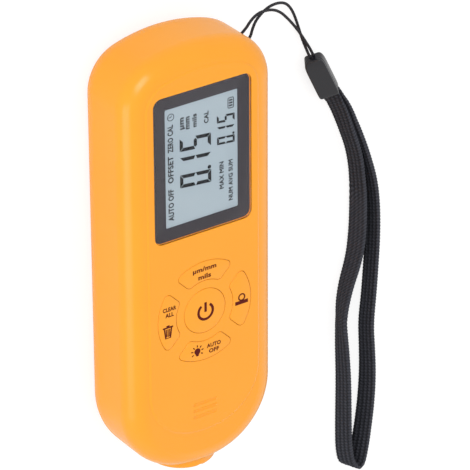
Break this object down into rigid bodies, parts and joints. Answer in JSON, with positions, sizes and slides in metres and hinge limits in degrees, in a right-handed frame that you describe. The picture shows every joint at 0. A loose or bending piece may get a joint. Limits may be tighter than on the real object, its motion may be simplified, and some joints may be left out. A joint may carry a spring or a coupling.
{
  "type": "coating thickness gauge",
  "caption": "Hand-held gauge in a rounded housing with a display window, a ring of keys, a spring-loaded probe nose, a battery door and a wrist strap.",
  "frame": {"origin": "on the back face's plane, under the middle of the gauge's box without its strap", "axes": "+X to the right seen from the front, +Y along the gauge to its top end, +Z out of its front"},
  "size_m": [0.0998, 0.167, 0.0257],
  "materials": {
    "housing": "satin moulded orange plastic",
    "key": "satin moulded orange plastic",
    "window": "clear polished acrylic",
    "tape": "dark grey print",
    "screen": "grey-blue liquid crystal glass",
    "light_guide": "milky acrylic",
    "lamp": "white lamp body",
    "black_rubber": "black silicone",
    "black_plastic": "black moulded plastic",
    "board": "green solder mask",
    "chip": "black epoxy",
    "bright_metal": "plated steel",
    "cell": "plain wrapped cell",
    "spring": "spring wire",
    "copper": "enamelled copper wire",
    "nylon": "natural nylon",
    "probe_steel": "turned stainless steel",
    "string": "black braided string",
    "webbing": "black ribbed webbing",
    "clamp": "black moulded plastic"
  },
  "bodies": {
    "root": {"front_cover": "housing", "rear_cover": "housing", "display_window": "window", "window_tape": "tape", "screen": "screen", "light_guide": "light_guide", "back_lights": "lamp", "rubber_connector": "black_rubber", "screen_bezel": "black_plastic", "circuit_board": "board", "main_chip": "chip", "crystal_can": "bright_metal", "sounder": "black_plastic", "switch_domes": "bright_metal", "battery_left": "cell", "battery_right": "cell", "contact_bridge": "bright_metal", "contact_positive": "bright_metal", "contact_negative": "bright_metal", "contact_spring_left": "spring", "contact_spring_right": "spring", "case_screws": "bright_metal", "board_screws": "bright_metal", "probe_nose": "housing", "probe_spring": "spring", "lanyard_string": "string", "lanyard_webbing": "webbing", "lanyard_clamp": "clamp"},
    "door": {"battery_door": "housing"},
    "probe": {"probe_sleeve": "probe_steel", "probe_clip": "spring", "probe_spool": "nylon", "probe_coil": "copper", "probe_pin": "probe_steel"},
    "key_power": {"key_power": "key"},
    "key_units": {"key_units": "key"},
    "key_clear": {"key_clear": "key"},
    "key_light": {"key_light": "key"},
    "key_zero": {"key_zero": "key"}
  },
  "joints": [
    {"name": "key_power_press", "type": "slide", "parent": "root", "child": "key_power", "axis": [0, 0, -1], "range_m": [0, 0.0006], "stiffness_N_per_m": 1500},
    {"name": "key_units_press", "type": "slide", "parent": "root", "child": "key_units", "axis": [0, 0, -1], "range_m": [0, 0.0006], "stiffness_N_per_m": 1500},
    {"name": "key_clear_press", "type": "slide", "parent": "root", "child": "key_clear", "axis": [0, 0, -1], "range_m": [0, 0.0006], "stiffness_N_per_m": 1500},
    {"name": "key_light_press", "type": "slide", "parent": "root", "child": "key_light", "axis": [0, 0, -1], "range_m": [0, 0.0006], "stiffness_N_per_m": 1500},
    {"name": "key_zero_press", "type": "slide", "parent": "root", "child": "key_zero", "axis": [0, 0, -1], "range_m": [0, 0.0006], "stiffness_N_per_m": 1500},
    {"name": "probe_slide", "type": "slide", "parent": "root", "child": "probe", "axis": [0, 1, 0], "range_m": [0, 0.00095], "stiffness_N_per_m": 900, "deforming": ["probe_spring"]},
    {"name": "door_hinge", "type": "hinge", "parent": "root", "child": "door", "pos_m": [0, -0.04557, 0], "axis": [-1, 0, 0], "range_deg": [0, 38]}
  ]
}
